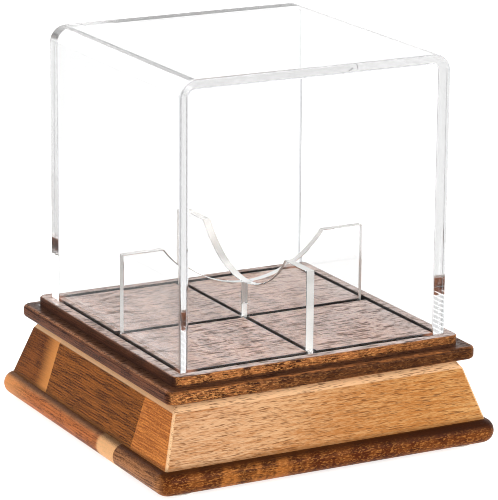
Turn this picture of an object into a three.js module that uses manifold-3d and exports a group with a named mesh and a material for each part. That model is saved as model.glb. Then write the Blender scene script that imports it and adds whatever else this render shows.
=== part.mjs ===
// Acrylic display cube: a clear lift-off cover on a stacked wooden base, with a two-plate cradle that seats
// a ball about 74 mm across. Units are millimetres and +Z is up. The origin is the middle of the surface
// that the foot pads stand on. X runs along the front, and the front faces -Y.

import * as THREE from "three";
import { mergeVertices } from "three/addons/utils/BufferGeometryUtils.js";
import Module from "manifold-3d";

const wasm = await Module();
wasm.setup();

// ---- Driving dimensions ------------------------------------------------------------------------------

const SHEET = 3; // thickness of every acrylic sheet
const FIT = 0.15; // air on each side of a sheet in its groove or slot
const SCREW_AIR = 0.3; // air between a screw and the wood round it

const COVER_SIDE = 100;
const COVER_HEIGHT = 100;
const BEND_RADIUS = 6; // outside of the two bends

const PLATE_LENGTH = 90;
const PLATE_HEIGHT = 30.5;
const SEAT_RADIUS = 37;
const SEAT_FLOOR = 15.6; // lowest point of the seat, above the plate's bottom edge

const GROOVE_WIDTH = SHEET + 2 * FIT;
const GROOVE_DEPTH = 3.2;

const PAD = { radius: 6, thickness: 1.2, chamfer: 0.2, inset: 11 };
const BOTTOM_BOARD = { side: 128.6, thickness: 8.3, edge: 4, corner: 2.5 };
const BODY = { bottomSide: 121.7, topSide: 108, height: 20.9 };
const LOWER_TIER = { side: 116.8, thickness: 4.5, edge: 1.4, corner: 3.5 };
const UPPER_TIER = { side: 107.8, thickness: 3.5, edge: 0.7, corner: 3 };

const BOTTOM_GLUE_LINE = -28.6; // Y of the joint between the two bottom board strips
const BODY_GLUE_LINES = [-34.6, 32.4]; // Y of the joints between the three body strips

const SCREW = {
  headRadius: 3.5,
  headHeight: 2.4,
  shankRadius: 1.75,
  length: 24,
  pointLength: 4,
  recessLength: 3.8,
  recessWidth: 0.9,
  recessDepth: 1.3,
  sunk: 0.4, // how far the head lies below the underside of the board
  reach: 40, // X and Y of each screw from the middle
};

const ARC_STEPS = 40; // steps along the seat arc
const BEND_STEPS = 10;
const ROUND_STEPS = 24;

// ---- Levels ------------------------------------------------------------------------------------------

const BOARD_Z = PAD.thickness;
const BODY_Z = BOARD_Z + BOTTOM_BOARD.thickness;
const TOP_BOARD_Z = BODY_Z + BODY.height;
const TILE_Z = TOP_BOARD_Z + LOWER_TIER.thickness + UPPER_TIER.thickness;
const GROOVE_Z = TILE_Z - GROOVE_DEPTH;

// ---- Finishes ----------------------------------------------------------------------------------------

const acrylic = () =>
  new THREE.MeshStandardMaterial({ color: 0xf2f5f6, roughness: 0.05, transparent: true, opacity: 0.3 });
const wood = (color) => new THREE.MeshStandardMaterial({ color, roughness: 0.45 });
const steel = () => new THREE.MeshStandardMaterial({ color: 0xb5b7ba, roughness: 0.35, metalness: 1 });
const felt = () => new THREE.MeshStandardMaterial({ color: 0x3a3330, roughness: 0.95 });

// ---- Solids ------------------------------------------------------------------------------------------

function toSolid(geometry) {
  const bare = geometry.clone();
  bare.deleteAttribute("normal");
  bare.deleteAttribute("uv");
  const merged = mergeVertices(bare, 1e-4);
  const mesh = new wasm.Mesh({
    numProp: 3,
    vertProperties: new Float32Array(merged.attributes.position.array),
    triVerts: new Uint32Array(merged.index.array),
  });
  return new wasm.Manifold(mesh);
}

function toGeometry(solid) {
  const mesh = solid.getMesh();
  const geometry = new THREE.BufferGeometry();
  geometry.setAttribute("position", new THREE.BufferAttribute(mesh.vertProperties, 3));
  geometry.setIndex(new THREE.BufferAttribute(mesh.triVerts, 1));
  geometry.computeVertexNormals();
  return geometry;
}

// A box from its lowest and highest corners.
function boxSolid(low, high) {
  const size = high.map((value, axis) => value - low[axis]);
  const box = new THREE.BoxGeometry(...size);
  box.translate(...low.map((value, axis) => value + size[axis] / 2));
  return toSolid(box);
}

function roundedSquare(side, corner) {
  const half = side / 2;
  const inner = half - corner;
  const shape = new THREE.Shape();
  shape.moveTo(-inner, -half);
  shape.absarc(inner, -inner, corner, -Math.PI / 2, 0, false);
  shape.absarc(inner, inner, corner, 0, Math.PI / 2, false);
  shape.absarc(-inner, inner, corner, Math.PI / 2, Math.PI, false);
  shape.absarc(-inner, -inner, corner, Math.PI, 1.5 * Math.PI, false);
  return shape;
}

function square(side) {
  const half = side / 2;
  const corners = [[-half, -half], [half, -half], [half, half], [-half, half]];
  return new THREE.Shape(corners.map(([x, y]) => new THREE.Vector2(x, y)));
}

// A square board that stands on Z = 0, with round long edges and round corners in plan.
function boardSolid({ side, thickness, edge, corner }) {
  const rounded = new THREE.ExtrudeGeometry(square(side - 2 * edge), {
    depth: thickness - 2 * edge,
    bevelThickness: edge,
    bevelSize: edge,
    bevelSegments: 5,
  });
  rounded.translate(0, 0, edge);
  const plan = new THREE.ExtrudeGeometry(roundedSquare(side, corner), {
    depth: thickness,
    bevelEnabled: false,
    curveSegments: 5,
  });
  return toSolid(rounded).intersect(toSolid(plan));
}

// The stretch of a board or block between two Y values.
function stripOf(solid, fromY, toY) {
  const reach = BOTTOM_BOARD.side;
  return solid.intersect(boxSolid([-reach, fromY, -reach], [reach, toY, reach]));
}

// An upright sheet: its outline is drawn in X and Z, and its thickness runs along +Y from Y = 0.
function uprightSheet(outline, thickness) {
  const sheet = new THREE.ExtrudeGeometry(outline, {
    depth: thickness,
    bevelEnabled: false,
    curveSegments: BEND_STEPS,
  });
  sheet.rotateX(Math.PI / 2);
  sheet.translate(0, thickness, 0);
  return sheet;
}

// ---- Cover -------------------------------------------------------------------------------------------

// The bent sheet seen from the front: left wall, top and right wall, open at the bottom.
function wrapGeometry() {
  const outer = COVER_SIDE / 2;
  const inner = outer - SHEET;
  const centreX = outer - BEND_RADIUS;
  const centreZ = COVER_HEIGHT - BEND_RADIUS;
  const innerRadius = BEND_RADIUS - SHEET;
  const outline = new THREE.Shape();
  outline.moveTo(outer, 0);
  outline.absarc(centreX, centreZ, BEND_RADIUS, 0, Math.PI / 2, false);
  outline.absarc(-centreX, centreZ, BEND_RADIUS, Math.PI / 2, Math.PI, false);
  outline.lineTo(-outer, 0);
  outline.lineTo(-inner, 0);
  outline.absarc(-centreX, centreZ, innerRadius, Math.PI, Math.PI / 2, true);
  outline.absarc(centreX, centreZ, innerRadius, Math.PI / 2, 0, true);
  outline.lineTo(inner, 0);
  outline.closePath();
  return uprightSheet(outline, COVER_SIDE - 2 * SHEET);
}

// A flat panel whose top corners follow the outside of the bends.
function panelGeometry() {
  const half = COVER_SIDE / 2;
  const centreX = half - BEND_RADIUS;
  const centreZ = COVER_HEIGHT - BEND_RADIUS;
  const outline = new THREE.Shape();
  outline.moveTo(-half, 0);
  outline.lineTo(half, 0);
  outline.absarc(centreX, centreZ, BEND_RADIUS, 0, Math.PI / 2, false);
  outline.absarc(-centreX, centreZ, BEND_RADIUS, Math.PI / 2, Math.PI, false);
  outline.closePath();
  return uprightSheet(outline, SHEET);
}

// ---- Cradle ------------------------------------------------------------------------------------------

// A plate with the seat arc in its top edge. slot is the [low, high] Z range of the half-lap slot.
function cradlePlateGeometry(slot) {
  const half = PLATE_LENGTH / 2;
  const centreZ = SEAT_FLOOR + SEAT_RADIUS;
  const mouth = Math.sqrt(SEAT_RADIUS ** 2 - (centreZ - PLATE_HEIGHT) ** 2);
  const mouthAngle = Math.atan2(PLATE_HEIGHT - centreZ, mouth);
  const outline = new THREE.Shape();
  outline.moveTo(-half, 0);
  outline.lineTo(half, 0);
  outline.lineTo(half, PLATE_HEIGHT);
  for (let step = 0; step <= ARC_STEPS; step += 1) {
    const angle = mouthAngle + (step / ARC_STEPS) * (-Math.PI - 2 * mouthAngle);
    outline.lineTo(SEAT_RADIUS * Math.cos(angle), centreZ + SEAT_RADIUS * Math.sin(angle));
  }
  outline.lineTo(-half, PLATE_HEIGHT);
  outline.closePath();
  const plate = toSolid(uprightSheet(outline, SHEET));
  const slotHalf = GROOVE_WIDTH / 2;
  const cutter = boxSolid([-slotHalf, -SHEET, slot[0]], [slotHalf, 2 * SHEET, slot[1]]);
  const slotted = toGeometry(plate.subtract(cutter));
  slotted.translate(0, -SHEET / 2, 0);
  return slotted;
}

// ---- Base --------------------------------------------------------------------------------------------

function topBoardGeometry() {
  const buried = UPPER_TIER.edge;
  const lower = boardSolid(LOWER_TIER);
  const upper = boardSolid({ ...UPPER_TIER, thickness: UPPER_TIER.thickness + buried });
  const top = LOWER_TIER.thickness + UPPER_TIER.thickness;
  const stacked = lower.add(upper.translate([0, 0, LOWER_TIER.thickness - buried]));
  const outer = COVER_SIDE / 2 + FIT;
  const inner = outer - GROOVE_WIDTH;
  const floor = top - GROOVE_DEPTH;
  const half = GROOVE_WIDTH / 2;
  const channel = boxSolid([-outer, -outer, floor], [outer, outer, top + 1]);
  const island = boxSolid([-inner, -inner, floor - 1], [inner, inner, top + 2]);
  const alongX = boxSolid([-outer, -half, floor], [outer, half, top + 1]);
  const alongY = boxSolid([-half, -outer, floor], [half, outer, top + 1]);
  const grooves = channel.subtract(island).add(alongX).add(alongY);
  return toGeometry(stacked.subtract(grooves));
}

// The flared block, from Z = 0 up.
function bodySolid() {
  const toRadius = Math.SQRT1_2;
  const block = new THREE.CylinderGeometry(
    BODY.topSide * toRadius,
    BODY.bottomSide * toRadius,
    BODY.height,
    4,
  );
  block.rotateX(Math.PI / 2);
  block.rotateZ(Math.PI / 4);
  block.translate(0, 0, BODY.height / 2);
  return toSolid(block);
}

// ---- Fasteners and feet ------------------------------------------------------------------------------

// A countersunk wood screw with its head face at Z = 0 and its point up. air grows it for its hole.
function screwSolid(air) {
  const { headRadius, headHeight, shankRadius, length, pointLength } = SCREW;
  const headFace = air > 0 ? -2 : 0;
  const profile = [
    [0, headFace],
    [headRadius + air, headFace],
    [headRadius + air, 0.4],
    [shankRadius + air, headHeight + air],
    [shankRadius + air, length - pointLength],
    [0, length + air],
  ].map(([radius, z]) => new THREE.Vector2(radius, z));
  const lathe = new THREE.LatheGeometry(profile, ROUND_STEPS);
  lathe.rotateX(Math.PI / 2);
  return toSolid(lathe);
}

function screwGeometry() {
  const half = SCREW.recessLength / 2;
  const thin = SCREW.recessWidth / 2;
  const slotX = boxSolid([-half, -thin, -1], [half, thin, SCREW.recessDepth]);
  const slotY = boxSolid([-thin, -half, -1], [thin, half, SCREW.recessDepth]);
  return toGeometry(screwSolid(0).subtract(slotX.add(slotY)));
}

function padGeometry() {
  const { radius, thickness, chamfer } = PAD;
  const profile = [
    [0, 0],
    [radius - chamfer, 0],
    [radius, chamfer],
    [radius, thickness],
    [0, thickness],
  ].map(([r, z]) => new THREE.Vector2(r, z));
  const lathe = new THREE.LatheGeometry(profile, ROUND_STEPS);
  lathe.rotateX(Math.PI / 2);
  return toGeometry(toSolid(lathe));
}

// The four corners of the base, in order round it, as [x, y] signs.
const CORNERS = [[-1, -1], [1, -1], [1, 1], [-1, 1]];

// Cuts the four screw holes out of a solid whose Z = 0 lies at height z of the assembly.
function withScrewHoles(solid, z) {
  let cut = solid;
  for (const [x, y] of CORNERS) {
    const place = [x * SCREW.reach, y * SCREW.reach, BOARD_Z + SCREW.sunk - z];
    cut = cut.subtract(screwSolid(SCREW_AIR).translate(place));
  }
  return cut;
}

// ---- Assembly ----------------------------------------------------------------------------------------

function piece(name, geometry, material, x = 0, y = 0, z = 0) {
  const mesh = new THREE.Mesh(geometry, material);
  mesh.name = name;
  mesh.position.set(x, y, z);
  return mesh;
}

function makeBase() {
  const base = new THREE.Group();
  base.add(piece("top_board", topBoardGeometry(), wood(0x9a7868), 0, 0, TOP_BOARD_Z));

  const body = withScrewHoles(bodySolid(), BODY_Z);
  const [frontLine, backLine] = BODY_GLUE_LINES;
  const reach = BODY.bottomSide;
  const strips = [
    ["body_back_strip", backLine, reach, 0x8a5530],
    ["body_middle_strip", frontLine, backLine, 0x6e4526],
    ["body_front_strip", -reach, frontLine, 0xd49a62],
  ];
  for (const [name, fromY, toY, color] of strips) {
    base.add(piece(name, toGeometry(stripOf(body, fromY, toY)), wood(color), 0, 0, BODY_Z));
  }

  const board = withScrewHoles(boardSolid(BOTTOM_BOARD), BOARD_Z);
  const boardReach = BOTTOM_BOARD.side;
  const rear = toGeometry(stripOf(board, BOTTOM_GLUE_LINE, boardReach));
  const front = toGeometry(stripOf(board, -boardReach, BOTTOM_GLUE_LINE));
  base.add(piece("bottom_board_rear_strip", rear, wood(0x9a6238), 0, 0, BOARD_Z));
  base.add(piece("bottom_board_front_strip", front, wood(0x6b4129), 0, 0, BOARD_Z));

  const padReach = BOTTOM_BOARD.side / 2 - PAD.inset;
  CORNERS.forEach(([x, y], index) => {
    const number = index + 1;
    const screwX = x * SCREW.reach;
    const screwY = y * SCREW.reach;
    const screwZ = BOARD_Z + SCREW.sunk;
    base.add(piece(`base_screw_${number}`, screwGeometry(), steel(), screwX, screwY, screwZ));
    base.add(piece(`foot_pad_${number}`, padGeometry(), felt(), x * padReach, y * padReach, 0));
  });
  return base;
}

function makeCradle() {
  const cradle = new THREE.Group();
  const half = SEAT_FLOOR / 2;
  const lower = cradlePlateGeometry([half - FIT / 2, PLATE_HEIGHT]);
  const upper = cradlePlateGeometry([-1, half + FIT / 2]);
  cradle.add(piece("cradle_lower_plate", lower, acrylic()));
  const crossing = piece("cradle_upper_plate", upper, acrylic());
  crossing.rotation.z = Math.PI / 2;
  cradle.add(crossing);
  cradle.position.z = GROOVE_Z;
  return cradle;
}

function makeCover() {
  const cover = new THREE.Group();
  const half = COVER_SIDE / 2;
  cover.add(piece("cover_wrap", wrapGeometry(), acrylic(), 0, SHEET - half, 0));
  cover.add(piece("cover_front_panel", panelGeometry(), acrylic(), 0, -half, 0));
  cover.add(piece("cover_back_panel", panelGeometry(), acrylic(), 0, half - SHEET, 0));
  cover.position.z = GROOVE_Z;
  return cover;
}

const displayCube = new THREE.Group();
displayCube.add(makeBase(), makeCradle(), makeCover());

export default displayCube;
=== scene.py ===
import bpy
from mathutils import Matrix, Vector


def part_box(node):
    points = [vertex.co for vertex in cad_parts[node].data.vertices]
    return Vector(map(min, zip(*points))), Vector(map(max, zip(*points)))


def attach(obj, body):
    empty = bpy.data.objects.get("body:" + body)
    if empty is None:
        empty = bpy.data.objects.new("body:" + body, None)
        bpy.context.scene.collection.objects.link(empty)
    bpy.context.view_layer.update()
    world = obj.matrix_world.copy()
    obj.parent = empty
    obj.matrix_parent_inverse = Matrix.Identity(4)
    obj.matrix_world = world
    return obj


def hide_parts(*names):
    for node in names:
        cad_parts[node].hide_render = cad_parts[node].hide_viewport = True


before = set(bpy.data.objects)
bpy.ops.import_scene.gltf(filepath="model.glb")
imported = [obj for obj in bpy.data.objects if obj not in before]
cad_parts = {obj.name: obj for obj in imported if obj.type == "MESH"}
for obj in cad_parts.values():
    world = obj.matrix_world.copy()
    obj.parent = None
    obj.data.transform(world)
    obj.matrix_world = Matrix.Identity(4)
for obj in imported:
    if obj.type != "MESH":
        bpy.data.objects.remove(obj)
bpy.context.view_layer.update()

import math

import bmesh
import bpy
from mathutils import Matrix, Vector

MM = 0.001

# ---- Sizes, from the frame ---------------------------------------------------------------------------


def low(node):
    """The lowest corner of a CAD node's box."""
    return Vector(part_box(node)[0])


def high(node):
    """The highest corner of a CAD node's box."""
    return Vector(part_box(node)[1])


SHEET = high("cover_front_panel").y - low("cover_front_panel").y
AIR = 0.03 * MM
COVER_LOW = low("cover_front_panel") + Vector((0, 0, AIR))
COVER_HIGH = high("cover_back_panel")
BEND_RADIUS = 6 * MM
BEND_STEPS = 24
COVER_EDGE = 0.25 * MM
CEMENT_FILLET = 0.7 * MM
PLATE_LOW = low("cradle_lower_plate") + Vector((0, 0, AIR))
PLATE_HIGH = high("cradle_lower_plate")
SEAT_RADIUS = 37 * MM
SEAT_FLOOR = PLATE_LOW.z + 15.6 * MM
LAP_HEIGHT = 7.8 * MM
PLATE_EDGE = 0.12 * MM
FIT = 0.15 * MM
GROOVE_WIDTH = SHEET + 2 * FIT
GROOVE_EDGE = 0.2 * MM
BOARD_LOW = low("bottom_board_rear_strip").z
BOARD_HIGH = high("bottom_board_rear_strip").z
BODY_HIGH = high("body_middle_strip").z
TILE_Z = high("top_board").z
GROOVE_Z = low("cover_wrap").z
BOARD_HALF = high("bottom_board_rear_strip").y
BOARD_CORNER = 5 * MM
BODY_HALF_LOW = high("body_back_strip").y
BODY_HALF_HIGH = 54 * MM
BODY_EASE_DROP = 4.0 * MM
BODY_EASE_IN = 3.0 * MM
BODY_CORNER = 1.4 * MM
LOWER_TIER_HALF = high("top_board").x
LOWER_TIER_TOP = BODY_HIGH + 4.5 * MM
LOWER_TIER_CORNER = 3.5 * MM
UPPER_TIER_HALF = 53.9 * MM
UPPER_TIER_CORNER = 3 * MM
BOTTOM_GLUE_Y = low("bottom_board_rear_strip").y
BODY_GLUE_FRONT = low("body_middle_strip").y
BODY_GLUE_BACK = high("body_middle_strip").y
CORNER_NUMBERS = range(1, 5)
SCREW_AIR = 0.3 * MM
SCREW_SHANK = 1.75 * MM
SCREW_HEAD_HEIGHT = 2.4 * MM
SCREW_HEAD_RIM = 0.4 * MM
SCREW_POINT = 4 * MM


# ---- Node graphs -------------------------------------------------------------------------------------


class Graph:
    """Short calls for building one material's nodes."""

    def __init__(self, name):
        self.material = bpy.data.materials.new(name)
        self.material.use_nodes = True
        self.tree = self.material.node_tree
        self.tree.nodes.clear()
        self.output = self.tree.nodes.new("ShaderNodeOutputMaterial")

    def feed(self, socket, value):
        if isinstance(value, bpy.types.NodeSocket):
            self.tree.links.new(value, socket)
        elif value is not None:
            socket.default_value = value

    def node(self, kind, values=None, **settings):
        made = self.tree.nodes.new(kind)
        for key, value in settings.items():
            setattr(made, key, value)
        for key, value in (values or {}).items():
            self.feed(made.inputs[key], value)
        return made

    def object_mm(self):
        """The object's own coordinates in millimetres."""
        values = {0: self.node("ShaderNodeTexCoord").outputs["Object"], "Scale": 1 / MM}
        return self.node("ShaderNodeVectorMath", values, operation="SCALE").outputs[0]

    def stretch(self, vector, scale, offset=(0, 0, 0)):
        values = {"Vector": vector, "Scale": scale, "Location": offset}
        return self.node("ShaderNodeMapping", values).outputs[0]

    def split(self, vector):
        return self.node("ShaderNodeSeparateXYZ", {0: vector}).outputs

    def math(self, operation, first, second=None, third=None, clamp=False):
        made = self.node("ShaderNodeMath", {0: first}, operation=operation, use_clamp=clamp)
        self.feed(made.inputs[1], second)
        self.feed(made.inputs[2], third)
        return made.outputs[0]

    def noise(self, vector, scale=1.0, detail=3.0, roughness=0.5, distortion=0.0):
        values = {"Vector": vector, "Scale": scale, "Detail": detail, "Roughness": roughness}
        values["Distortion"] = distortion
        return self.node("ShaderNodeTexNoise", values).outputs["Fac"]

    def remap(self, value, from_low, from_high, to_low=0.0, to_high=1.0):
        values = {0: value, 1: from_low, 2: from_high, 3: to_low, 4: to_high}
        return self.node("ShaderNodeMapRange", values, interpolation_type="SMOOTHSTEP").outputs[0]

    def mix(self, factor, first, second, blend="MIX"):
        made = self.node("ShaderNodeMix", data_type="RGBA", blend_type=blend)
        self.feed(made.inputs[0], factor)
        self.feed(made.inputs[6], first)
        self.feed(made.inputs[7], second)
        return made.outputs[2]

    def ramp(self, factor, stops):
        made = self.node("ShaderNodeValToRGB", {0: factor})
        elements = made.color_ramp.elements
        while len(elements) < len(stops):
            elements.new(0.5)
        for element, (place, colour) in zip(elements, stops):
            element.position = place
            element.color = colour
        return made.outputs[0]

    def finish(self, shader):
        self.tree.links.new(shader, self.output.inputs["Surface"])
        return self.material


def srgb(red, green, blue):
    """A colour from its usual 0 to 255 values."""

    def linear(value):
        value /= 255
        return value / 12.92 if value <= 0.04045 else ((value + 0.055) / 1.055) ** 2.4

    return (linear(red), linear(green), linear(blue), 1.0)


# ---- Wood --------------------------------------------------------------------------------------------

# Distances from the middle of the base in millimetres, as the materials use them.
RIM_GROOVE_AT = 48.4
GROOVE_HALF = 1.95
GROOVE_END = 50.0
RIM_CORNER_FROM = 42.0
RIM_CORNER_TO = 46.0
TILES_END = 53.4
LACQUER_END = 54.2
# Where the painted shade in the step between the tiers is full, fades and ends.
STEP_SHADE_FULL = 53.0
STEP_SHADE_FADES = 56.0
STEP_SHADE_ENDS = 57.6
# Where the painted sheen on the bottom board's front is brightest.
SHEEN_SPOT_X = -31.0

SEED_SPACING = 37.0
LEVEL_CONTRAST = 0.4
SPECULAR = 0.04
COAT_ROUGHNESS = 0.22
PORE_ROUGHNESS = 0.3
PORE_DEPTH = 0.15 * MM
# Painted shade inside the grooves, lighter near the rim's corners.
GROOVE_SHADE_COLOUR = srgb(14, 8, 6)
GROOVE_CORNER_SHADE_COLOUR = srgb(150, 100, 78)
# Painted sheen on the tiles.
TILE_SHEEN_COLOUR = srgb(186, 168, 162)
# Painted glints on curly front faces.
FLECK_GLINT_COLOUR = srgb(212, 146, 84)
# Painted shade where the body stands on the bottom board.
FOOT_SHADE_COLOUR = srgb(52, 24, 10)
# Painted highlight on the body's eased edges.
EDGE_HIGHLIGHT_COLOUR = srgb(236, 192, 146)


def growth_rings(g, place, gap, tilt, waver):
    """Layers of growth, from 0 to 1 across each ring. tilt leans the layers from level towards +Y."""
    y, z = g.split(place)[1:3]
    drift = g.noise(g.stretch(place, (0.012, 0.05, 0.05)), detail=2)
    wobble = g.noise(g.stretch(place, (0.05, 0.3, 0.3), (7, 0, 0)), detail=3)
    depth = g.math("MULTIPLY_ADD", y, math.sin(tilt), g.math("MULTIPLY", z, math.cos(tilt)))
    depth = g.math("MULTIPLY_ADD", drift, waver, depth)
    depth = g.math("MULTIPLY_ADD", wobble, 0.8, depth)
    turn = g.math("FRACT", g.math("DIVIDE", depth, gap))
    levels = [(0.0, 0.1), (0.55, 0.4), (0.86, 1.0), (1.0, 0.1)]
    return g.ramp(turn, [(stop, (level, level, level, 1)) for stop, level in levels])


def grain_shade(g, place, look):
    """How dark the wood is on a face along the grain, from 0 to 1."""
    rings = growth_rings(g, place, look["ring_gap"], look["tilt"], look["waver"])
    cloud = g.noise(g.stretch(place, (0.018, 0.07, 0.07), (3.1, 1.7, 0)), detail=3, roughness=0.55)
    cloud = g.remap(cloud, 0.34, 0.66, -0.5, 0.5)
    streak = g.noise(g.stretch(place, (0.07, 0.9, 1.3)), detail=4, roughness=0.65, distortion=0.2)
    streak = g.remap(streak, 0.36, 0.64, -0.5, 0.5)
    fibre = g.noise(g.stretch(place, (0.42, 1.8, 2.6)), detail=3, roughness=0.7)
    fibre = g.remap(fibre, 0.34, 0.66, -0.5, 0.5)
    shade = g.math("MULTIPLY_ADD", rings, look["rings"], look["bias"])
    shade = g.math("MULTIPLY_ADD", cloud, look["cloud"], shade)
    shade = g.math("MULTIPLY_ADD", streak, look["streak"], shade)
    shade = g.math("MULTIPLY_ADD", fibre, look["fibre"], shade)
    if look["curl"]:
        wave = g.noise(g.stretch(place, (0.15, 0.02, 0.05), (0.4, 0, 0)), detail=3, roughness=0.6)
        wave = g.remap(wave, 0.36, 0.64, -0.5, 0.5)
        shade = g.math("MULTIPLY_ADD", wave, look["curl"], shade)
    return g.math("ADD", shade, 0.0, clamp=True), cloud, fibre


def end_shade(g, place, look, cloud):
    """How dark the wood is on a face across the grain, from 0 to 1: broken lines in each ring."""
    rings = growth_rings(g, place, look["hatch_gap"], 0.04, 3.0)
    lines = g.noise(g.stretch(place, (0.3, 0.07, 2.0)), detail=1, roughness=0.5)
    lines = g.remap(lines, 0.4, 0.6, -0.5, 0.5)
    grit = g.noise(g.stretch(place, (0.8, 1.0, 2.8), (4, 0, 0)), detail=2, roughness=0.7)
    grit = g.remap(grit, 0.4, 0.6, -0.5, 0.5)
    shade = g.math("MULTIPLY_ADD", rings, look["hatch"], look["end_bias"])
    shade = g.math("MULTIPLY_ADD", lines, look["lines"], shade)
    shade = g.math("MULTIPLY_ADD", grit, look["grit"], shade)
    shade = g.math("MULTIPLY_ADD", cloud, look["end_cloud"], shade)
    return g.math("ADD", shade, 0.0, clamp=True)


def pore_mask(g, place, look, ends, level):
    """Short open pores along the grain, and longer wavy ones on broad faces."""
    fine = look["pore_fine"]
    dash = g.noise(g.stretch(place, (0.26, fine, fine)), detail=1, roughness=0.4)
    dash = g.remap(dash, look["pore_from"], look["pore_from"] + 0.06)
    pores = dash
    if look["wavy_pores"]:
        stretched = g.stretch(place, (0.16, 1.0, 1.0), (5, 2, 0))
        wavy = g.noise(stretched, detail=3, roughness=0.6, distortion=0.25)
        wavy = g.math("MULTIPLY", g.remap(wavy, 0.545, 0.585), look["wavy_pores"])
        wavy = g.math("MULTIPLY", wavy, level)
        pores = g.math("MAXIMUM", dash, wavy)
    return g.math("MULTIPLY", pores, g.math("MULTIPLY_ADD", ends, -0.8, 1.0))


def reach(g, raw):
    """The distance of a point from the middle of the base, measured square, in millimetres."""
    x, y = g.split(raw)[0:2]
    return g.math("MAXIMUM", g.math("ABSOLUTE", x), g.math("ABSOLUTE", y))


def end_mask(g, facing_x):
    """Where a face lies across the grain."""
    return g.remap(g.math("ABSOLUTE", facing_x), 0.5, 0.85)


def groove_mask(g, raw):
    """Where the top board's grooves are, for their painted shade, and how near each point in them is to
    a corner of the rim, where that painted shade is lighter.
    """
    x, y, z = g.split(raw)
    side = reach(g, raw)
    near = g.math("MINIMUM", g.math("ABSOLUTE", x), g.math("ABSOLUTE", y))
    rim = g.math("COMPARE", side, RIM_GROOVE_AT, GROOVE_HALF)
    cross = g.math("LESS_THAN", near, GROOVE_HALF)
    cross = g.math("MULTIPLY", cross, g.math("LESS_THAN", side, GROOVE_END))
    above = g.math("GREATER_THAN", z, GROOVE_Z / MM - 0.2)
    groove_shade = g.math("MULTIPLY", g.math("MAXIMUM", rim, cross), above)
    return groove_shade, g.remap(near, RIM_CORNER_FROM, RIM_CORNER_TO)


def wood(name, look, shades, detail=None):
    """Lacquered wood, grain along X. shades are its light, dark, pore and end-grain colours. detail adds
    the marks of one piece to the colour, before the pores."""
    light, dark, pore, end_light, end_dark = shades
    g = Graph(name)
    raw = g.object_mm()
    place = g.stretch(raw, (1, 1, 1), (look["seed"] * SEED_SPACING, 0, 0))
    normal = g.node("ShaderNodeTexCoord").outputs["Normal"]
    facing = g.split(normal)
    ends = end_mask(g, facing[0])
    level = g.remap(facing[2], 0.7, 0.97)

    shade, cloud, fibre = grain_shade(g, place, look)
    # Level faces show less contrast in the grain than the sides.
    calm = g.math("MULTIPLY_ADD", g.math("SUBTRACT", shade, 0.5), LEVEL_CONTRAST, 0.5)
    along = g.mix(g.mix(level, shade, calm), light, dark)
    across = g.mix(end_shade(g, place, look, cloud), end_light, end_dark)
    colour = g.mix(ends, along, across)
    if detail:
        colour = detail(g, raw, colour, normal)
    pores = pore_mask(g, place, look, ends, level)
    colour = g.mix(g.math("MULTIPLY", pores, look["pores"]), colour, pore)

    keep = g.math("SUBTRACT", 1.0, pores)
    if look["grooved"]:
        groove_shade, corner = groove_mask(g, raw)
        # Painted shade: the grooves are coloured near black, less so near the rim's corners, for the
        # shade inside them.
        colour = g.mix(groove_shade, colour, g.mix(corner, GROOVE_SHADE_COLOUR, GROOVE_CORNER_SHADE_COLOUR))
        keep = g.math("MULTIPLY", keep, g.math("SUBTRACT", 1.0, groove_shade))

    relief = g.math("MULTIPLY_ADD", pores, -1.0, g.math("MULTIPLY", fibre, 0.25))
    bump = g.node("ShaderNodeBump", {"Strength": 0.4, "Distance": PORE_DEPTH, "Height": relief})
    polish = g.math("MULTIPLY", keep, level)
    values = {
        "Base Color": colour,
        "Roughness": g.math("MULTIPLY_ADD", pores, PORE_ROUGHNESS, look["roughness"]),
        "IOR": 1.5,
        "Specular IOR Level": SPECULAR,
        "Normal": bump.outputs[0],
    }
    if look["coat"]:
        edge = g.remap(reach(g, raw), TILES_END, LACQUER_END, 1.0, 0.1)
        polish = g.math("MULTIPLY", polish, edge)
        values["Coat Weight"] = g.math("MULTIPLY", polish, look["coat"])
        values["Coat Roughness"] = COAT_ROUGHNESS
        values["Coat Normal"] = bump.outputs[0]
    return g.finish(g.node("ShaderNodeBsdfPrincipled", values).outputs[0])


# Gaps and waver are in millimetres and tilt in radians. pore_from sets how rare the pores are, and
# pore_fine how thin. Most of the others say how strongly one layer of the figure shows.
PLAIN_LOOK = {
    "seed": 0.0,
    "ring_gap": 2.4,
    "tilt": 0.25,
    "waver": 14.0,
    "rings": 0.25,
    "cloud": 0.4,
    "streak": 0.4,
    "fibre": 0.5,
    "curl": 0.0,
    "bias": 0.4,
    "hatch_gap": 0.8,
    "hatch": 0.55,
    "lines": 0.5,
    "grit": 0.4,
    "end_cloud": 0.4,
    "end_bias": 0.29,
    "pore_from": 0.58,
    "pore_fine": 3.5,
    "pores": 0.6,
    "wavy_pores": 0.0,
    "roughness": 0.36,
    "coat": 0.0,
    "grooved": False,
}


def look_of(**changes):
    """The plain look with some of its values changed."""
    return {**PLAIN_LOOK, **changes}


def darkened(g, colour, amount, shade=(0.05, 0.02, 0.012, 1)):
    """The colour darkened by an amount towards a dark colour: painted shade in some callers, plain
    darker places in others.
    """
    return g.mix(amount, colour, shade)


def flecks(g, raw, seed):
    """Painted glints: fine flecks, a millimetre or so long, where a curly face catches the light."""
    fleck = g.noise(g.stretch(raw, (0.9, 2.2, 2.2), (seed, 0, 0)), detail=2, roughness=0.6)
    return g.remap(fleck, 0.5, 0.64)


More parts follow.
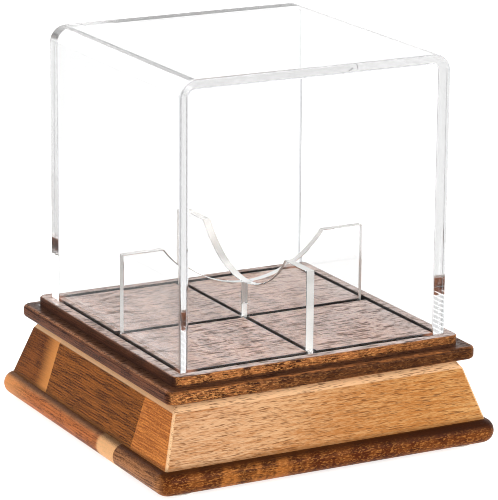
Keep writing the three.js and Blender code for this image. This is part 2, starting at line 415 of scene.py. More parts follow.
def top_board_shade(g, raw, colour, normal):
    """A painted sheen on the tiles, fronts that darken to the right, darker ends, and painted shade in
    the step.
    """
    x, height = g.split(raw)[0], g.split(raw)[2]
    facing_x, facing_y, facing_z = g.split(normal)
    step_z = LOWER_TIER_TOP / MM
    upper = g.math("GREATER_THAN", height, step_z + 0.1)
    ends = g.math("MULTIPLY", upper, end_mask(g, facing_x))
    colour = darkened(g, colour, g.math("MULTIPLY", ends, 0.55))

    top = g.remap(facing_z, 0.8, 0.97)
    tiles = g.math("MULTIPLY", top, g.remap(reach(g, raw), TILES_END, LACQUER_END, 1.0, 0.0))
    # Painted sheen: the tiles are paled towards a pinkish grey, more to the right, for the glare on
    # their lacquer.
    pale = g.math("MULTIPLY", g.remap(x, 24.0, 48.0, 0.18, 0.45), tiles)
    colour = g.mix(pale, colour, TILE_SHEEN_COLOUR)

    facing_front = g.remap(facing_y, -0.9, -0.5, 1.0, 0.0)
    lower_dim = g.remap(x, -60.0, 5.0, 0.0, 0.85)
    upper_dim = g.remap(x, 0.0, 45.0, 0.0, 0.5)
    dim = g.mix(g.remap(height, step_z, step_z + 0.1), lower_dim, upper_dim)
    colour = darkened(g, colour, g.math("MULTIPLY", facing_front, dim), srgb(52, 26, 10))
    # Painted glints on the tiers' fronts.
    fleck = g.math("MULTIPLY", flecks(g, raw, 3), facing_front)
    fleck = g.math("MULTIPLY", fleck, g.math("MULTIPLY_ADD", dim, -0.7, 0.7))
    colour = g.mix(fleck, colour, FLECK_GLINT_COLOUR)

    # Painted shade on the ledge between the tiers, under the upper tier.
    step = g.math("COMPARE", height, step_z + 0.2, 0.55)
    outside = g.remap(reach(g, raw), STEP_SHADE_FULL - 1.0, STEP_SHADE_FULL)
    fade = g.remap(reach(g, raw), STEP_SHADE_FADES, STEP_SHADE_ENDS, 1.0, 0.0)
    amount = g.math("MULTIPLY", g.math("MULTIPLY", step, outside), fade)
    return darkened(g, colour, g.math("MULTIPLY", amount, 0.8))


def foot_shade(g, raw, colour, normal):
    """Painted shade on the bottom board where the sloped body stands, most of all along the front."""
    x, y, z = g.split(raw)
    along_front = g.remap(y, -61.6, -61.0, 1.0, 0.0)
    along_front = g.math("MULTIPLY", along_front, g.remap(x, -61.5, -60.5))
    narrow = g.remap(reach(g, raw), 61.7, 63.4, 0.75, 0.0)
    wide = g.remap(reach(g, raw), 62.2, 64.0, 0.85, 0.0)
    widest = g.remap(reach(g, raw), 63.2, 65.0, 1.0, 0.0)
    wide = g.mix(g.remap(x, -10.0, 45.0), wide, widest)
    near = g.mix(along_front, narrow, wide)
    above = g.remap(z, 5.2, 8.2)
    return darkened(g, colour, g.math("MULTIPLY", near, above), FOOT_SHADE_COLOUR)


def front_board(g, raw, colour, normal):
    """A front edge with one painted spot of sheen, darkening away from it, and fine golden flecks as
    painted glints.
    """
    facing_front = g.remap(g.split(normal)[1], -0.7, -0.3, 1.0, 0.0)
    # Painted sheen: the front is brightest at one spot and darkened away from it.
    from_sheen_spot = g.math("ABSOLUTE", g.math("SUBTRACT", g.split(raw)[0], SHEEN_SPOT_X))
    dim = g.remap(from_sheen_spot, 5.0, 26.0, 0.0, 0.7)
    colour = darkened(g, colour, g.math("MULTIPLY", facing_front, dim), srgb(72, 28, 6))
    # Painted glints on the board's front.
    fleck = g.math("MULTIPLY", flecks(g, raw, 9), facing_front)
    colour = g.mix(g.math("MULTIPLY", fleck, 0.35), colour, srgb(200, 132, 66))
    return foot_shade(g, raw, colour, normal)


def edge_highlight_and_foot_shade(g, raw, colour, normal):
    """A painted highlight along the eased top edge and the corners, and painted shade along the foot,
    where the body meets the bottom board.
    """
    facing_x, facing_y, facing_z = g.split(normal)
    top = g.remap(facing_z, 0.42, 0.6)
    corner = g.math("ABSOLUTE", g.math("MULTIPLY", facing_x, facing_y))
    corner = g.remap(corner, 0.2, 0.4)
    edge = g.math("MAXIMUM", top, corner)
    # Painted highlight on the eased edges.
    colour = g.mix(g.math("MULTIPLY", edge, 0.8), colour, EDGE_HIGHLIGHT_COLOUR)
    # Painted shade along the foot.
    foot = g.remap(g.split(raw)[2], BOARD_HIGH / MM + 0.3, BOARD_HIGH / MM + 1.6, 0.5, 0.0)
    return darkened(g, colour, foot, srgb(96, 62, 28))


def front_strip(g, raw, colour, normal):
    """Paler and pinker towards the left end, and more orange towards the right."""
    blend = g.remap(g.split(raw)[0], -50.0, 45.0)
    tint = g.mix(blend, (1.02, 1.05, 1.22, 1), (1.0, 0.94, 0.74, 1))
    colour = g.mix(1.0, colour, tint, blend="MULTIPLY")
    return edge_highlight_and_foot_shade(g, raw, colour, normal)


def back_strip(g, raw, colour, normal):
    """Pale sapwood where the back strip meets the dark one."""
    edge = g.math("SUBTRACT", g.split(raw)[1], BODY_GLUE_BACK / MM)
    wander = g.noise(g.stretch(raw, (0.05, 0.0, 0.16)), detail=2)
    edge = g.math("MULTIPLY_ADD", g.math("SUBTRACT", wander, 0.5), 3.0, edge)
    colour = g.mix(g.remap(edge, 0.5, 11.0, 0.85, 0.0), colour, srgb(214, 140, 72))
    return edge_highlight_and_foot_shade(g, raw, colour, normal)


def rear_board(g, raw, colour, normal):
    """Pale sapwood beside the glue line of the bottom board."""
    edge = g.math("SUBTRACT", g.split(raw)[1], BOTTOM_GLUE_Y / MM)
    wander = g.noise(g.stretch(raw, (0.05, 0.0, 0.2)), detail=2)
    edge = g.math("MULTIPLY_ADD", g.math("SUBTRACT", wander, 0.5), 5.0, edge)
    colour = g.mix(g.remap(edge, 11.0, 13.5, 0.8, 0.0), colour, srgb(240, 186, 130))
    line = g.math("COMPARE", edge, 14.6, 1.3)
    colour = g.mix(g.math("MULTIPLY", line, 0.35), colour, srgb(120, 70, 44))
    back = g.remap(edge, 62.0, 88.0, 0.0, 0.7)
    colour = g.mix(back, colour, srgb(232, 156, 92))
    return foot_shade(g, raw, colour, normal)


# ---- Acrylic -----------------------------------------------------------------------------------------

ACRYLIC_IOR = 1.49
ABSORPTION = 3.6
SHADOW_PASS = (0.96, 0.965, 0.965, 1)
CLEAR = (1, 1, 1, 1)
CUT_HAZE = 0.22
CUT_DIFFUSE = 0.4
BEND_HAZE = 0.2
# Painted shade on the cover's eased edges and fillets.
EDGE_LINE_SHADE = (0.5, 0.51, 0.53, 1)
CUT_COLOUR = (0.8, 0.78, 0.75, 1)


def acrylic(name, face_axis=None):
    """Clear acrylic. Without face_axis it is the bent, cemented cover, a little hazy at its bends, with
    grey lines on its eased edges and joints as painted shade for the dark lines that refraction draws
    there. With face_axis it is a flat plate, with hazy cut edges above the tiles."""
    g = Graph(name)
    place = g.object_mm()
    x, y, z = g.split(place)
    normal = g.node("ShaderNodeTexCoord").outputs["Normal"]
    values = {"IOR": ACRYLIC_IOR}
    if face_axis is None:
        high_up = g.remap(z, COVER_HIGH.z / MM - 6.5, COVER_HIGH.z / MM - 5.0)
        bend = g.remap(g.math("ABSOLUTE", x), 43.6, 44.4)
        back = g.remap(y, 46.6, 47.2)
        smudge = g.noise(g.stretch(place, (0.3, 0.12, 0.3)), detail=3, roughness=0.6)
        smudge = g.remap(smudge, 0.35, 0.65, 0.1, BEND_HAZE)
        hazy = g.math("MULTIPLY", high_up, g.math("MAXIMUM", bend, back))
        # The joints' eased edges and fillets are the only faces that lean between Y and the rest. Their
        # grey is painted shade for the dark lines that refraction draws along them.
        line = g.math("COMPARE", g.math("ABSOLUTE", g.split(normal)[1]), 0.55, 0.42)
        values["Roughness"] = g.math("MULTIPLY", hazy, smudge)
        values["Base Color"] = g.mix(line, CLEAR, EDGE_LINE_SHADE)
        values["Transmission Weight"] = 1.0
    else:
        cut = g.remap(g.math("ABSOLUTE", g.split(normal)[face_axis]), 0.3, 0.6, 1.0, 0.0)
        cut = g.math("MULTIPLY", cut, g.remap(z, TILE_Z / MM - 0.4, TILE_Z / MM + 0.2))
        values["Roughness"] = g.math("MULTIPLY", cut, CUT_HAZE)
        values["Base Color"] = g.mix(cut, CLEAR, CUT_COLOUR)
        values["Transmission Weight"] = g.math("MULTIPLY_ADD", cut, -CUT_DIFFUSE, 1.0)
    shader = g.node("ShaderNodeBsdfPrincipled", values)
    # The lamps' light passes straight through, because refracted it would reach the wood only as noise.
    passing = g.node("ShaderNodeBsdfTransparent", {"Color": SHADOW_PASS})
    path = g.node("ShaderNodeLightPath")
    mixed = g.node("ShaderNodeMixShader", {0: path.outputs["Is Shadow Ray"]})
    g.feed(mixed.inputs[1], shader.outputs[0])
    g.feed(mixed.inputs[2], passing.outputs[0])
    volume = g.node("ShaderNodeVolumeAbsorption", {"Color": (0, 0, 0, 1), "Density": ABSORPTION})
    g.feed(g.output.inputs["Volume"], volume.outputs[0])
    return g.finish(mixed.outputs[0])


def steel():
    """Plain steel with fine scratches."""
    g = Graph("screw_steel")
    place = g.object_mm()
    scratch = g.noise(g.stretch(place, (3.0, 3.0, 0.4)), detail=4)
    colour = g.mix(scratch, (0.42, 0.41, 0.40, 1), (0.62, 0.61, 0.60, 1))
    gloss = g.remap(scratch, 0.2, 0.8, 0.25, 0.45)
    values = {"Base Color": colour, "Metallic": 1.0, "Roughness": gloss}
    return g.finish(g.node("ShaderNodeBsdfPrincipled", values).outputs[0])


def felt():
    """Pale wool felt."""
    g = Graph("pad_felt")
    place = g.object_mm()
    fuzz = g.noise(g.stretch(place, (4, 4, 4)), detail=5, roughness=0.7, distortion=0.6)
    colour = g.mix(fuzz, srgb(178, 170, 160), srgb(214, 208, 200))
    bump = g.node("ShaderNodeBump", {"Strength": 0.8, "Distance": 0.0002, "Height": fuzz})
    values = {"Base Color": colour, "Roughness": 0.95, "Sheen Weight": 0.3, "Normal": bump.outputs[0]}
    return g.finish(g.node("ShaderNodeBsdfPrincipled", values).outputs[0])


# ---- Mesh helpers ------------------------------------------------------------------------------------


def add_piece(name, mesh, material, body, slot, *nodes):
    """Put a finished piece in the scene. It rides on body and takes the place of the named nodes."""
    piece = bpy.data.objects.new(name, mesh)
    bpy.context.scene.collection.objects.link(piece)
    mesh.materials.clear()
    mesh.materials.append(material)
    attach(piece, body)
    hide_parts(*nodes)
    return piece


def to_mesh(name, bm):
    """A mesh from a bmesh, with its faces pointing out. The bmesh is used up."""
    bmesh.ops.recalc_face_normals(bm, faces=bm.faces)
    mesh = bpy.data.meshes.new(name)
    bm.to_mesh(mesh)
    bm.free()
    return mesh


def with_modifiers(mesh, *steps):
    """The mesh after modifiers, each given as (kind, settings)."""
    holder = bpy.data.objects.new("holder", mesh)
    bpy.context.scene.collection.objects.link(holder)
    for kind, settings in steps:
        modifier = holder.modifiers.new(kind.lower(), kind)
        for key, value in settings.items():
            setattr(modifier, key, value)
    graph = bpy.context.evaluated_depsgraph_get()
    result = bpy.data.meshes.new_from_object(holder.evaluated_get(graph))
    bpy.data.objects.remove(holder)
    return result


def bevel(width, segments):
    """A modifier step that eases every edge sharper than 60 degrees."""
    limit = {"limit_method": "ANGLE", "angle_limit": math.radians(60)}
    return ("BEVEL", {"width": width, "segments": segments, **limit})


def smooth(mesh, degrees=40):
    """Smooth shading, with edges sharper than degrees kept crisp."""
    mesh.shade_smooth()
    mesh.set_sharp_from_angle(angle=math.radians(degrees))
    settings = {"mode": "FACE_AREA", "weight": 50, "keep_sharp": True}
    return with_modifiers(mesh, ("WEIGHTED_NORMAL", settings))


def ring_points(half, corner, z, steps=8):
    """A rounded square at height z, as points in order round it."""
    corner = max(corner, 0.05 * MM)
    inner = half - corner
    points = []
    for quarter, (sx, sy) in enumerate([(1, 1), (-1, 1), (-1, -1), (1, -1)]):
        for step in range(steps + 1):
            angle = (quarter + step / steps) * math.pi / 2
            x = sx * inner + corner * math.cos(angle)
            y = sy * inner + corner * math.sin(angle)
            points.append((x, y, z))
    return points


def loft(rings):
    """A closed bmesh through rings of equal length, from bottom to top, with flat ends."""
    bm = bmesh.new()
    loops = [[bm.verts.new(point) for point in ring] for ring in rings]
    count = len(loops[0])
    for below, above in zip(loops, loops[1:]):
        for i in range(count):
            j = (i + 1) % count
            bm.faces.new((below[i], below[j], above[j], above[i]))
    bm.faces.new(reversed(loops[0]))
    bm.faces.new(loops[-1])
    return bm


def arc(centre, radius, start, end, steps):
    """Points on an arc in a plane, angles in degrees."""
    points = []
    for step in range(steps + 1):
        angle = math.radians(start + (end - start) * step / steps)
        points.append((centre[0] + radius * math.cos(angle), centre[1] + radius * math.sin(angle)))
    return points


def box_mesh(corner_low, corner_high):
    """A bmesh box between two corners."""
    bm = bmesh.new()
    bmesh.ops.create_cube(bm, size=1)
    size = Vector(corner_high) - Vector(corner_low)
    middle = (Vector(corner_high) + Vector(corner_low)) / 2
    bmesh.ops.scale(bm, vec=size, verts=bm.verts)
    bmesh.ops.translate(bm, vec=middle, verts=bm.verts)
    return bm


def cut_out(mesh, *cutters):
    """The mesh with each cutter bmesh taken away."""
    for cutter in cutters:
        tool = bpy.data.objects.new("cutter", to_mesh("cutter", cutter))
        bpy.context.scene.collection.objects.link(tool)
        settings = {"object": tool, "operation": "DIFFERENCE", "solver": "EXACT"}
        mesh = with_modifiers(mesh, ("BOOLEAN", settings))
        bpy.data.objects.remove(tool)
    return mesh


def slice_y(mesh, from_y, to_y):
    """The part of a closed mesh between two Y values, closed again."""
    bm = bmesh.new()
    bm.from_mesh(mesh)
    for y, normal in ((from_y, (0, -1, 0)), (to_y, (0, 1, 0))):
        if y is None:
            continue
        geometry = bm.verts[:] + bm.edges[:] + bm.faces[:]
        plane = {"plane_co": (0, y, 0), "plane_no": normal}
        cut = bmesh.ops.bisect_plane(bm, geom=geometry, clear_outer=True, **plane)
        edges = [item for item in cut["geom_cut"] if isinstance(item, bmesh.types.BMEdge)]
        bmesh.ops.contextual_create(bm, geom=edges)
    return to_mesh("strip", bm)


# ---- Base --------------------------------------------------------------------------------------------


def profile_rings(profile, corner, outer):
    """Rings for a profile of (half width, z), with plan corners concentric with corner at outer."""
    return [ring_points(half, corner - (outer - half), z) for half, z in profile]


def top_board_mesh():
    """The stepped top board, with the cover's groove and the cradle's crossed grooves."""
    edge_low = 1.4 * MM
    edge_high = 0.7 * MM
    half = LOWER_TIER_HALF
    lower = arc((half - edge_low, BODY_HIGH + edge_low), edge_low, -90, 0, 8)
    lower += arc((half - edge_low, LOWER_TIER_TOP - edge_low), edge_low, 0, 90, 8)
    rings = profile_rings(lower, LOWER_TIER_CORNER, half)
    half = UPPER_TIER_HALF
    upper = [(half, LOWER_TIER_TOP)] + arc((half - edge_high, TILE_Z - edge_high), edge_high, 0, 90, 6)
    rings += profile_rings(upper, UPPER_TIER_CORNER, half)
    mesh = to_mesh("top_board", loft(rings))
    outer = COVER_HIGH.x + FIT
    inner = outer - GROOVE_WIDTH
    top = TILE_Z + 2 * MM
    lap = GROOVE_WIDTH / 2
    sides = [
        ((-outer, -outer), (outer, -inner)),
        ((-outer, inner), (outer, outer)),
        ((-outer, -outer), (-inner, outer)),
        ((inner, -outer), (outer, outer)),
        ((-outer, -lap), (outer, lap)),
        ((-lap, -outer), (lap, outer)),
    ]
    cutters = [box_mesh((*start, GROOVE_Z), (*end, top)) for start, end in sides]
    mesh = cut_out(mesh, *cutters)
    return smooth(with_modifiers(mesh, bevel(GROOVE_EDGE, 2)))


def body_mesh():
    """The sloped middle of the base, eased along its top edge and corners."""
    slope = (BODY_HALF_LOW - BODY_HALF_HIGH) / (BODY_HIGH - BOARD_HIGH)
    profile = [(BODY_HALF_LOW, BOARD_HIGH)]
    start = BODY_HIGH - BODY_EASE_DROP
    profile.append((BODY_HALF_LOW - slope * (start - BOARD_HIGH), start))
    for turn in (0.15, 0.5, 1.0):
        half = profile[1][0] - BODY_EASE_IN * (turn * 0.9 + turn * turn * 0.1)
        profile.append((half, start + BODY_EASE_DROP * turn))
    rings = [ring_points(half, BODY_CORNER, z, 6) for half, z in profile]
    return to_mesh("body", loft(rings))


def bottom_board_mesh():
    """The board under the sloped body, with a half-round edge."""
    radius = (BOARD_HIGH - BOARD_LOW) / 2
    centre = (BOARD_HALF - radius, BOARD_LOW + radius)
    profile = arc(centre, radius, -90, 90, 24)
    rings = profile_rings(profile, BOARD_CORNER, BOARD_HALF)
    return to_mesh("bottom_board", loft(rings))


# ---- Cover and cradle --------------------------------------------------------------------------------


def cover_outline(radius, side, bottom):
    """The cover's outline in X and Z at one face of the bent sheet."""
    centre_x = COVER_HIGH.x - BEND_RADIUS
    centre_z = COVER_HIGH.z - BEND_RADIUS
    points = [(side, bottom)]
    points += arc((centre_x, centre_z), radius, 0, 90, BEND_STEPS)
    points += arc((-centre_x, centre_z), radius, 90, 180, BEND_STEPS)
    return points + [(-side, bottom)]


def extrude_y(outline, from_y, to_y):
    """A closed bmesh of an outline in X and Z, run along Y."""
    bm = bmesh.new()
    front = [bm.verts.new((x, from_y, z)) for x, z in outline]
    back = [bm.verts.new((x, to_y, z)) for x, z in outline]
    bm.faces.new(front)
    bm.faces.new(reversed(back))
    for i in range(len(outline)):
        j = (i + 1) % len(outline)
        bm.faces.new((front[i], back[i], back[j], front[j]))
    return bm


def cover_mesh():
    """The bent sheet and its two end panels, welded into one clear piece."""
    outer = cover_outline(BEND_RADIUS, COVER_HIGH.x, COVER_LOW.z)
    below = COVER_LOW.z - 5 * MM
    inner = cover_outline(BEND_RADIUS - SHEET, COVER_HIGH.x - SHEET, below)
    mesh = to_mesh("cover", extrude_y(outer, COVER_LOW.y, COVER_HIGH.y))
    space = to_mesh("space", extrude_y(inner, COVER_LOW.y + SHEET, COVER_HIGH.y - SHEET))
    space = with_modifiers(space, bevel(CEMENT_FILLET, 4))
    cutter = bmesh.new()
    cutter.from_mesh(space)
    return smooth(with_modifiers(cut_out(mesh, cutter), bevel(COVER_EDGE, 3)), 30)


def plate_mesh(name, slot_open_at_top, turn):
    """A cradle plate with its seat arc and half-lap slot, turned about Z."""
    half = PLATE_HIGH.x
    centre_z = SEAT_FLOOR + SEAT_RADIUS
    top = PLATE_HIGH.z
    mouth = math.degrees(math.asin((top - centre_z) / SEAT_RADIUS))
    slot_half = SHEET / 2 + FIT
    meet = PLATE_LOW.z + LAP_HEIGHT
    lip = math.degrees(math.acos(slot_half / SEAT_RADIUS))
    outline = [(-half, PLATE_LOW.z)]
    if not slot_open_at_top:
        slot_top = meet + FIT / 2
        outline += [(-slot_half, PLATE_LOW.z), (-slot_half, slot_top)]
        outline += [(slot_half, slot_top), (slot_half, PLATE_LOW.z)]
    outline += [(half, PLATE_LOW.z), (half, top)]
    if slot_open_at_top:
        slot_floor = meet - FIT / 2
        outline += arc((0, centre_z), SEAT_RADIUS, mouth, -lip, 40)
        outline += [(slot_half, slot_floor), (-slot_half, slot_floor)]
        outline += arc((0, centre_z), SEAT_RADIUS, -180 + lip, -180 - mouth, 40)
    else:
        outline += arc((0, centre_z), SEAT_RADIUS, mouth, -180 - mouth, 90)
    outline.append((-half, top))
    bm = extrude_y(outline, -SHEET / 2, SHEET / 2)
    bmesh.ops.transform(bm, matrix=Matrix.Rotation(turn, 4, "Z"), verts=bm.verts)
    return smooth(with_modifiers(to_mesh(name, bm), bevel(PLATE_EDGE, 1)), 30)


# ---- Screws and pads ---------------------------------------------------------------------------------


def lathe(profile, steps, place):
    """A closed bmesh turned round Z through place. The profile starts and ends on the axis."""
    rings = []
    for radius, z in profile[1:-1]:
        ring = []
        for step in range(steps):
            angle = 2 * math.pi * step / steps
            ring.append(Vector((radius * math.cos(angle), radius * math.sin(angle), z)) + Vector(place))
        rings.append(ring)
    bm = bmesh.new()
    loops = [[bm.verts.new(point) for point in ring] for ring in rings]
    start = bm.verts.new(Vector((0, 0, profile[0][1])) + Vector(place))
    end = bm.verts.new(Vector((0, 0, profile[-1][1])) + Vector(place))
    for i in range(steps):
        j = (i + 1) % steps
        bm.faces.new((loops[0][i], start, loops[0][j]))
        for below, above in zip(loops, loops[1:]):
            bm.faces.new((below[i], below[j], above[j], above[i]))
        bm.faces.new((loops[-1][i], loops[-1][j], end))
    return bm


def round_part(node):
    """The middle of an upright round node at its lowest point, its radius and its height."""
    corner_low, corner_high = low(node), high(node)
    middle = (corner_low + corner_high) / 2
    radius = (corner_high.x - corner_low.x) / 2
    return (middle.x, middle.y, corner_low.z), radius, corner_high.z - corner_low.z


def screw_mesh(node):
    """A countersunk cross-head wood screw, its thread as rings."""
    place, head, length = round_part(node)
    shank = 1.7 * MM
    root = 1.2 * MM
    thread_start = 7 * MM
    pitch = 1.4 * MM
    flank, crest, crest_end = 0.8 * MM, 1.05 * MM, 1.15 * MM
    profile = [(0, 0), (head - 0.2 * MM, 0), (head, 0.15 * MM), (head, SCREW_HEAD_RIM)]
    profile += [(shank, SCREW_HEAD_HEIGHT), (shank, thread_start)]
    z = thread_start + 0.4 * MM
    while z + pitch < length - 3 * MM:
        profile += [(root, z), (root, z + flank), (shank, z + crest), (shank, z + crest_end)]
        z += pitch
    profile += [(root, z), (0.2 * MM, length), (0, length)]
    mesh = to_mesh("screw", lathe(profile, 32, place))
    arm = 1.9 * MM
    thin = 0.45 * MM
    depth = 1.3 * MM
    cutters = []
    for reach_x, reach_y in ((arm, thin), (thin, arm)):
        start = (place[0] - reach_x, place[1] - reach_y, place[2] - 1 * MM)
        end = (place[0] + reach_x, place[1] + reach_y, place[2] + depth)
        cutters.append(box_mesh(start, end))
    return smooth(cut_out(mesh, *cutters), 35)


def screw_holes():
    """Cutters for the four countersunk screw holes, open at the underside."""
    cutters = []
    for number in CORNER_NUMBERS:
        place, radius, length = round_part(f"base_screw_{number}")
        head = radius + SCREW_AIR
        shank = SCREW_SHANK + SCREW_AIR
        below = -2 * MM
        profile = [(0, below), (head, below), (head, SCREW_HEAD_RIM)]
        profile += [(shank, SCREW_HEAD_HEIGHT + SCREW_AIR), (shank, length - SCREW_POINT)]
        cutters.append(lathe(profile + [(0, length + SCREW_AIR)], 32, place))
    return cutters


def pad_mesh(node):
    """A round felt pad with a soft lower edge."""
    place, radius, height = round_part(node)
    round_edge = 0.35 * MM
    profile = [(0, 0)]
    profile += arc((radius - round_edge, round_edge), round_edge, -90, 0, 5)
    profile += [(radius, height), (0, height)]
    return smooth(to_mesh("pad", lathe(profile, 48, place)))


# ---- Make the object ---------------------------------------------------------------------------------


def make_base():
    """The boards and strips, the screws and the pads."""
    tops = wood(
        "walnut_top",
        look_of(seed=1, rings=0.1, cloud=0.35, streak=0.4, fibre=0.8, curl=0.55, bias=0.42, pores=0.85,
                pore_from=0.585, pore_fine=4.4, wavy_pores=0.8, roughness=0.32, coat=1.0, grooved=True),
        (srgb(174, 109, 61), srgb(56, 29, 14), srgb(40, 22, 15),
         srgb(116, 69, 45), srgb(42, 22, 14)),
        top_board_shade,
    )
    body_back = wood(
        "walnut_body",
        look_of(seed=2, tilt=0.1),
        (srgb(190, 128, 78), srgb(110, 64, 36), srgb(56, 32, 20),
         srgb(138, 76, 26), srgb(70, 34, 10)),
        back_strip,
    )
    body_middle = wood(
        "walnut_dark",
        look_of(seed=3, tilt=0.1, hatch=0.65, grit=0.35, end_cloud=0.05, end_bias=0.22),
        (srgb(150, 96, 58), srgb(78, 46, 28), srgb(40, 24, 16),
         srgb(156, 90, 32), srgb(60, 29, 9)),
        edge_highlight_and_foot_shade,
    )
    body_front = wood(
        "light_wood",
        look_of(seed=4, ring_gap=3.2, tilt=0.5, rings=0.2, cloud=0.6, streak=0.4, fibre=0.6, pores=0.8,
                pore_from=0.575, pore_fine=5.0, lines=0.5, grit=0.4, end_cloud=0.1),
        (srgb(196, 152, 106), srgb(165, 108, 58), srgb(104, 64, 36),
         srgb(212, 130, 56), srgb(142, 74, 26)),
        front_strip,
    )
    rear = wood(
        "walnut_bottom",
        look_of(seed=5, hatch_gap=1.4, hatch=0.6, lines=0.8, grit=0.8, end_cloud=0.9),
        (srgb(206, 142, 90), srgb(132, 78, 46), srgb(72, 42, 26),
         srgb(190, 110, 58), srgb(106, 54, 26)),
        rear_board,
    )
    front = wood(
        "walnut_bottom_front",
        look_of(seed=6, rings=0.1, cloud=0.3, streak=0.35, fibre=0.6, curl=1.1, bias=0.4, pores=0.5,
                hatch_gap=1.1, pore_from=0.6),
        (srgb(154, 92, 40), srgb(66, 31, 9), srgb(40, 22, 12),
         srgb(174, 117, 74), srgb(88, 52, 29)),
        front_board,
    )

    add_piece("top_board_shaped", top_board_mesh(), tops, "base", "walnut_top", "top_board")
    body = cut_out(body_mesh(), *screw_holes())
    strips = [
        ("body_back", body_back, "walnut_body", BODY_GLUE_BACK, None),
        ("body_middle", body_middle, "walnut_dark", BODY_GLUE_FRONT, BODY_GLUE_BACK),
        ("body_front", body_front, "light_wood", None, BODY_GLUE_FRONT),
    ]
    for name, material, slot, from_y, to_y in strips:
        mesh = smooth(slice_y(body, from_y, to_y))
        add_piece(name + "_shaped", mesh, material, "base", slot, name + "_strip")
    board = cut_out(bottom_board_mesh(), *screw_holes())
    halves = [
        ("bottom_board_rear", rear, "walnut_bottom", BOTTOM_GLUE_Y, None),
        ("bottom_board_front", front, "walnut_bottom_front", None, BOTTOM_GLUE_Y),
    ]
    for name, material, slot, from_y, to_y in halves:
        mesh = smooth(slice_y(board, from_y, to_y))
        add_piece(name + "_shaped", mesh, material, "base", slot, name + "_strip")
    screw_finish = steel()
    pad_finish = felt()
    for number in CORNER_NUMBERS:
        screw = f"base_screw_{number}"
        pad = f"foot_pad_{number}"
        add_piece(screw + "_threaded", screw_mesh(screw), screw_finish, "base", "screw_steel", screw)
        add_piece(pad + "_soft", pad_mesh(pad), pad_finish, "base", "pad_felt", pad)


def make_clear_parts():
    """The welded cover and the two plates of the cradle."""
    cover = acrylic("clear_acrylic")
    parts = ("cover_wrap", "cover_front_panel", "cover_back_panel")
    add_piece("cover_welded", cover_mesh(), cover, "cover", "clear_acrylic", *parts)
    lower_look = acrylic("clear_acrylic_lower", 1)
    upper_look = acrylic("clear_acrylic_upper", 0)
    plates = [
        ("cradle_lower", plate_mesh("cradle_lower", True, 0.0), lower_look),
        ("cradle_upper", plate_mesh("cradle_upper", False, math.pi / 2), upper_look),
    ]
    for body, mesh, material in plates:
        add_piece(body + "_cut", mesh, material, body, "clear_acrylic", body + "_plate")


# ---- Stage -------------------------------------------------------------------------------------------

FLOOR_GLOW = 0.74
FLOOR_QUIET = 0.12
WORLD_FRONT = 0.3
WORLD_BACK = 1.12
WORLD_TOP = 0.3
WORLD_PANEL = 1.9
WORLD_AHEAD = (0.47, 0.88, 0.0)
BOUNCES = 96


def add_floor():
    """A pale floor. In a single mirror reflection, in front and to the left of the object, it is dim, as
    if a dark cloth lay there: its glare would hide what stands behind the cover's walls."""
    bm = bmesh.new()
    bmesh.ops.create_grid(bm, x_segments=1, y_segments=1, size=6.0)
    floor = bpy.data.objects.new("floor", to_mesh("floor", bm))
    bpy.context.scene.collection.objects.link(floor)
    g = Graph("floor_white")
    place = g.node("ShaderNodeTexCoord").outputs["Object"]
    speckle = g.noise(place, scale=40.0, detail=2)
    colour = g.mix(speckle, (0.59, 0.59, 0.59, 1), (0.61, 0.61, 0.61, 1))
    values = {"Base Color": colour, "Roughness": 1.0, "Specular IOR Level": 0.0}
    values["Emission Color"] = (1, 1, 1, 1)
    values["Emission Strength"] = FLOOR_GLOW
    shader = g.node("ShaderNodeBsdfPrincipled", values)
    quiet = g.node("ShaderNodeBsdfDiffuse", {"Color": (FLOOR_QUIET, FLOOR_QUIET, FLOOR_QUIET, 1)})
    path = g.node("ShaderNodeLightPath")
    x, y = g.split(place)[0:2]
    ahead = g.remap(y, -0.12, -0.09, 1.0, 0.0)
    ahead = g.math("MAXIMUM", ahead, g.remap(x, -0.12, -0.09, 0.8, 0.0))
    mirrored = g.math("COMPARE", path.outputs["Glossy Depth"], 1.0, 0.5)
    mixed = g.node("ShaderNodeMixShader", {0: g.math("MULTIPLY", ahead, mirrored)})
    g.feed(mixed.inputs[1], shader.outputs[0])
    g.feed(mixed.inputs[2], quiet.outputs[0])
    floor.data.materials.append(g.finish(mixed.outputs[0]))


def add_light(name, place, target, size, watts):
    """A soft rectangular lamp that points at target."""
    data = bpy.data.lights.new(name, "AREA")
    data.shape = "RECTANGLE"
    data.size, data.size_y = size
    data.energy = watts
    lamp = bpy.data.objects.new(name, data)
    lamp.location = place
    lamp.rotation_euler = (Vector(target) - Vector(place)).to_track_quat("-Z", "Y").to_euler()
    bpy.context.scene.collection.objects.link(lamp)


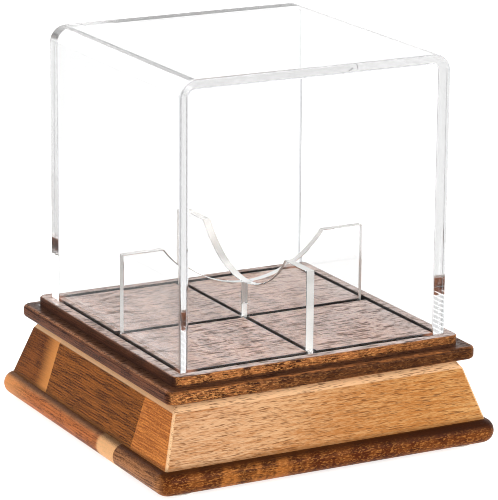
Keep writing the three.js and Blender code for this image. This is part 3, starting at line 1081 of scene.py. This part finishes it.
def add_world():
    """A white studio, dimmer overhead and behind the camera, with a brighter panel at the back."""
    world = bpy.data.worlds.new("studio")
    bpy.context.scene.world = world
    world.use_nodes = True
    tree = world.node_tree
    direction = tree.nodes.new("ShaderNodeTexCoord").outputs["Generated"]
    facing = tree.nodes.new("ShaderNodeVectorMath")
    facing.operation = "DOT_PRODUCT"
    facing.inputs[1].default_value = WORLD_AHEAD
    tree.links.new(direction, facing.inputs[0])
    split = tree.nodes.new("ShaderNodeSeparateXYZ")
    tree.links.new(direction, split.inputs[0])

    def remap(value, *limits):
        made = tree.nodes.new("ShaderNodeMapRange")
        made.interpolation_type = "SMOOTHSTEP"
        tree.links.new(value, made.inputs[0])
        for index, limit in enumerate(limits, 1):
            made.inputs[index].default_value = limit
        return made.outputs[0]

    def product(first, second):
        made = tree.nodes.new("ShaderNodeMath")
        made.operation = "MULTIPLY"
        tree.links.new(first, made.inputs[0])
        tree.links.new(second, made.inputs[1])
        return made.outputs[0]

    ahead, height = facing.outputs["Value"], split.outputs["Z"]
    level = remap(ahead, -1.0, -0.2, WORLD_FRONT, WORLD_BACK)
    level = product(level, remap(height, 0.3, 0.95, 1.0, WORLD_TOP))
    panel = product(remap(height, 0.3, 0.38, 0.0, 1.0), remap(height, 0.52, 0.62, 1.0, 0.0))
    panel = product(panel, remap(ahead, 0.3, 0.6, 0.0, WORLD_PANEL))
    total = tree.nodes.new("ShaderNodeMath")
    total.operation = "ADD"
    tree.links.new(level, total.inputs[0])
    tree.links.new(panel, total.inputs[1])
    tree.links.new(total.outputs[0], tree.nodes["Background"].inputs["Strength"])
    tree.nodes["Background"].inputs["Color"].default_value = (1, 1, 1, 1)


def add_camera():
    """The camera at the viewing angle that was fitted to the object's edges."""
    azimuth = math.radians(-28.2)
    elevation = math.radians(15.44)
    roll = math.radians(0.444)
    distance = 1.0854
    target = Vector((7.7 * MM, 11.3 * MM, TILE_Z + 19.3 * MM))
    level = math.cos(elevation)
    back = Vector((math.sin(azimuth) * level, -math.cos(azimuth) * level, math.sin(elevation)))
    right = back.cross(Vector((0, 0, 1))) * -1
    right.normalize()
    up = back.cross(right)
    turned_right = right * math.cos(roll) + up * math.sin(roll)
    turned_up = up * math.cos(roll) - right * math.sin(roll)
    data = bpy.data.cameras.new("camera")
    data.lens = 224.66
    data.sensor_width = 36
    data.clip_start = 0.01
    camera = bpy.data.objects.new("camera", data)
    turned = Matrix((turned_right, turned_up, back)).transposed().to_4x4()
    camera.matrix_world = Matrix.Translation(target + back * distance) @ turned
    bpy.context.scene.collection.objects.link(camera)
    bpy.context.scene.camera = camera


def set_look():
    """Plain colours, and enough bounces for light that is trapped in the acrylic sheets."""
    scene = bpy.context.scene
    scene.view_settings.view_transform = "Standard"
    scene.cycles.filter_width = 1.0
    for kind in ("max_bounces", "transmission_bounces", "transparent_max_bounces", "glossy_bounces"):
        setattr(scene.cycles, kind, BOUNCES)


make_base()
make_clear_parts()
add_floor()
add_world()
add_light("key", (0.6, -1.7, 0.8), (0, 0, 0.05), (1.0, 1.0), 24)
add_light("fill", (-1.1, -0.9, 1.0), (0, 0, 0.05), (0.9, 0.9), 10)
add_camera()
set_look()
